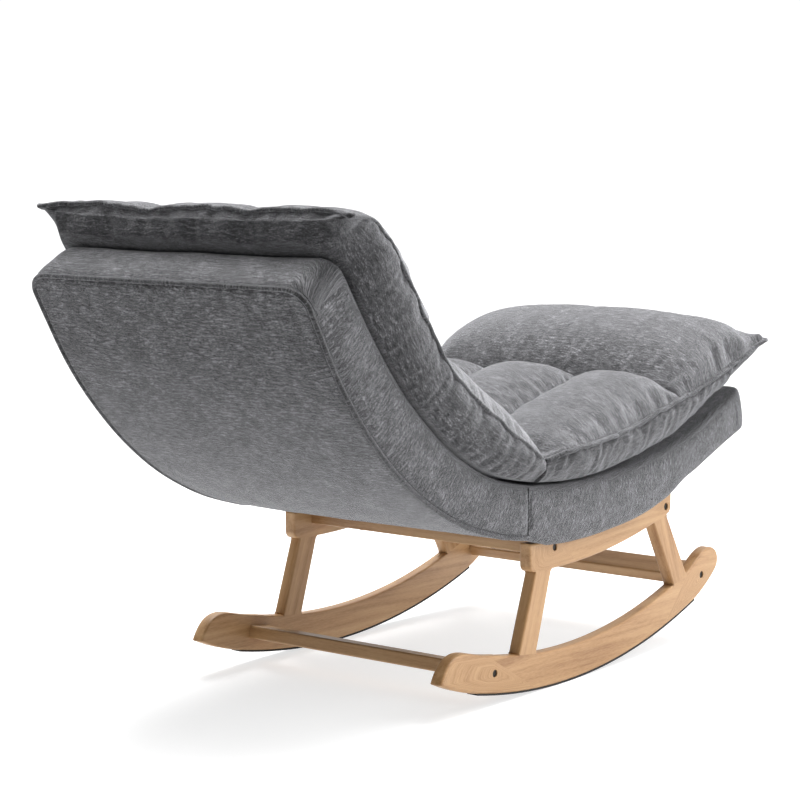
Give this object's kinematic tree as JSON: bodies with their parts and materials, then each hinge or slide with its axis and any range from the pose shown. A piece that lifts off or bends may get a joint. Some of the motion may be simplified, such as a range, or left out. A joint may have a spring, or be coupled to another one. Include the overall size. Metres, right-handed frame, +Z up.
{
  "type": "rocking chair",
  "caption": "Low upholstered rocking lounge chair: scoop seat on a curved beech rocking base, with loose tufted back cushion and seat cushion with front bolster.",
  "frame": {"origin": "on the floor, midway between the two points where the curved soles touch it at rest", "axes": "+Z up, the chair faces -Y, +X is the chair's left; X is square to the symmetry plane, Y runs along the chair"},
  "size_m": [0.64, 1.3835, 0.864],
  "materials": {
    "beech": "satin",
    "inner_timber": "matte",
    "plywood": "matte",
    "sole_rubber": "matte",
    "bolt_steel": "satin",
    "nut_steel": "satin",
    "webbing": "matte",
    "padding": "matte",
    "upholstery": "matte"
  },
  "bodies": {
    "chair": {"back_board": "plywood", "back_wadding": "padding", "back_webbing": "webbing", "barrel_nuts": "nut_steel", "deck_cover": "upholstery", "deck_foam": "padding", "frame_bolts": "bolt_steel", "front_cross_rail": "beech", "front_leg_left": "beech", "front_leg_right": "beech", "front_stretcher": "beech", "head_rail": "inner_timber", "leg_dowels": "beech", "lumbar_rail": "inner_timber", "nose_rail": "inner_timber", "outer_cover": "upholstery", "rear_cross_rail": "beech", "rear_leg_left": "beech", "rear_leg_right": "beech", "rear_stretcher": "beech", "rocker_left": "beech", "rocker_right": "beech", "seat_front_rail": "inner_timber", "seat_rear_rail": "inner_timber", "seat_webbing": "webbing", "shell_bolts": "bolt_steel", "side_cover_left": "upholstery", "side_cover_right": "upholstery", "side_panel_left": "plywood", "side_panel_right": "plywood", "side_rail_left": "beech", "side_rail_right": "beech", "side_wadding_left": "padding", "side_wadding_right": "padding", "sole_strip_left": "sole_rubber", "sole_strip_right": "sole_rubber", "tee_nuts": "nut_steel", "welt_left": "upholstery", "welt_right": "upholstery"},
    "seat_cushion": {"bolster_boxing": "upholstery", "bolster_filling": "padding", "bolster_top_cover": "upholstery", "bolster_under_cover": "upholstery", "seat_cushion_boxing": "upholstery", "seat_cushion_filling": "padding", "seat_cushion_top_cover": "upholstery", "seat_cushion_under_cover": "upholstery"},
    "back_cushion": {"back_cushion_boxing": "upholstery", "back_cushion_filling": "padding", "back_cushion_top_cover": "upholstery", "back_cushion_under_cover": "upholstery"}
  },
  "joints": [
    {"name": "seat_cushion_lift", "type": "slide", "parent": "chair", "child": "seat_cushion", "axis": [0, -0.8, 0.6], "range_m": [0, 0.3]},
    {"name": "back_cushion_lift", "type": "slide", "parent": "chair", "child": "back_cushion", "axis": [0, 0, 1], "range_m": [0, 0.3]}
  ]
}
